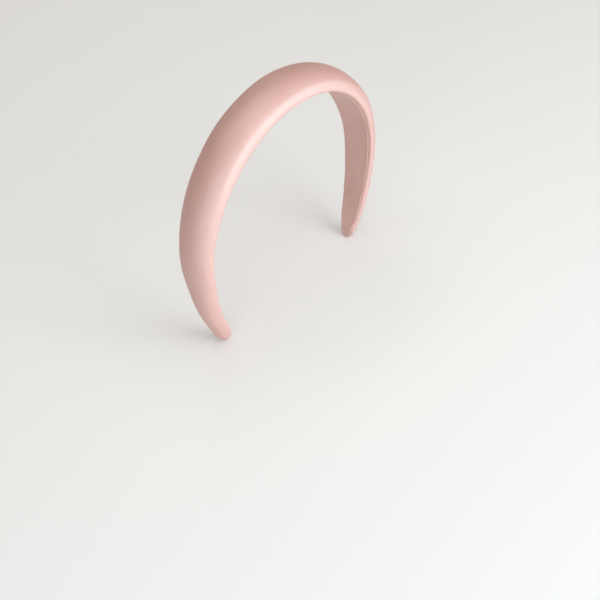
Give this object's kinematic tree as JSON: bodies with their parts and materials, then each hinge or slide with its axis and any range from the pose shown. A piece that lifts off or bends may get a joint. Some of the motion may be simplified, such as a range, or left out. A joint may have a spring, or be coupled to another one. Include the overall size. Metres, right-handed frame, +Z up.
{
  "type": "padded headband",
  "caption": "Smooth padded satin headband: springy core, domed foam pad, satin cover and lining, tapering to rounded tips behind the ears.",
  "frame": {"origin": "centre of the round crown, on the head's axis, midway between the tips", "axes": "+X ear to ear, towards the wearer's left; +Y towards the back of the head; +Z up"},
  "size_m": [0.1744, 0.031, 0.1599],
  "materials": {
    "satin": "woven satin with a soft sheen, pale pink",
    "lining": "finely ribbed woven ribbon, slightly darker pink",
    "foam": "matte open-cell sponge, cream",
    "core_plastic": "moulded plastic, off-white",
    "tape": "thin clear adhesive film"
  },
  "bodies": {
    "left_half": {"left_core": "core_plastic", "left_pad": "foam", "left_satin_cover": "satin", "left_lining": "lining", "left_pad_tape": "tape", "left_lining_tape": "tape"},
    "right_half": {"right_core": "core_plastic", "right_pad": "foam", "right_satin_cover": "satin", "right_lining": "lining", "right_pad_tape": "tape", "right_lining_tape": "tape"}
  },
  "joints": [
    {"name": "band_flex", "type": "hinge", "parent": "left_half", "child": "right_half", "pos_m": [0, 0, 0.07804], "axis": [0, 1, 0], "range_deg": [-8, 18], "stiffness_Nm_per_rad": 1.4}
  ]
}
